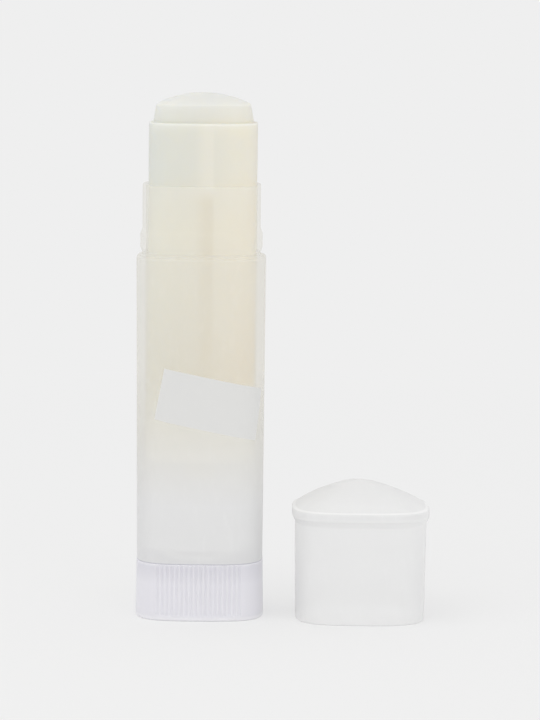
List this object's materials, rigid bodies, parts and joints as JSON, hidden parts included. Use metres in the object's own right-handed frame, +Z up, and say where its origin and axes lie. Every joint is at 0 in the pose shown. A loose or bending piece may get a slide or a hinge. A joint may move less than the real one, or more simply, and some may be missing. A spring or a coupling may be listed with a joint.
{
  "type": "glue stick",
  "caption": "Twist-up glue stick of bowed rectangular section with a ribbed base knob, a raised glue block with a domed crown, and its domed cap standing beside it.",
  "frame": {"origin": "middle of the stick's foot rim, on the plane that it stands on", "axes": "+Z up the stick from its base knob to the glue's crown; +X across the broad face, towards the cap that stands beside it; -Y out of the front broad face"},
  "size_m": [0.0562, 0.022, 0.1],
  "materials": {
    "frosted_barrel": "frosted see-through moulded plastic, satin",
    "white_plastic": "opaque white moulded plastic, satin, very slightly blue",
    "spindle_plastic": "white moulded plastic, satin",
    "carrier_plastic": "white moulded plastic, satin",
    "glue": "cloudy pale yellow solid glue, waxy and slightly moist",
    "frosted_cap": "frosted see-through moulded plastic, satin",
    "lid_plastic": "natural thin moulded plastic, satin"
  },
  "bodies": {
    "barrel_body": {"barrel": "frosted_barrel"},
    "knob_body": {"base_knob": "white_plastic", "screw_spindle": "spindle_plastic"},
    "carrier_body": {"glue_carrier": "carrier_plastic", "glue_block": "glue"},
    "cap_body": {"cap": "frosted_cap", "cap_seal": "lid_plastic"}
  },
  "joints": [
    {"name": "knob_turn", "type": "hinge", "parent": "barrel_body", "child": "knob_body", "pos_m": [0, 0, 0.0109], "axis": [0, 0, 1], "range_deg": [-1063, 3916]},
    {"name": "carrier_slide", "type": "slide", "parent": "barrel_body", "child": "carrier_body", "axis": [0, 0, 1], "range_m": [-0.0118, 0.0435]},
    {"name": "cap_lift", "type": "slide", "parent": "barrel_body", "child": "cap_body", "axis": [0, 0, 1], "range_m": [0, 0.0194]}
  ],
  "couplings": [
    {"joint": "knob_turn", "follows": "carrier_slide", "rad_per_m": 1570.8}
  ]
}
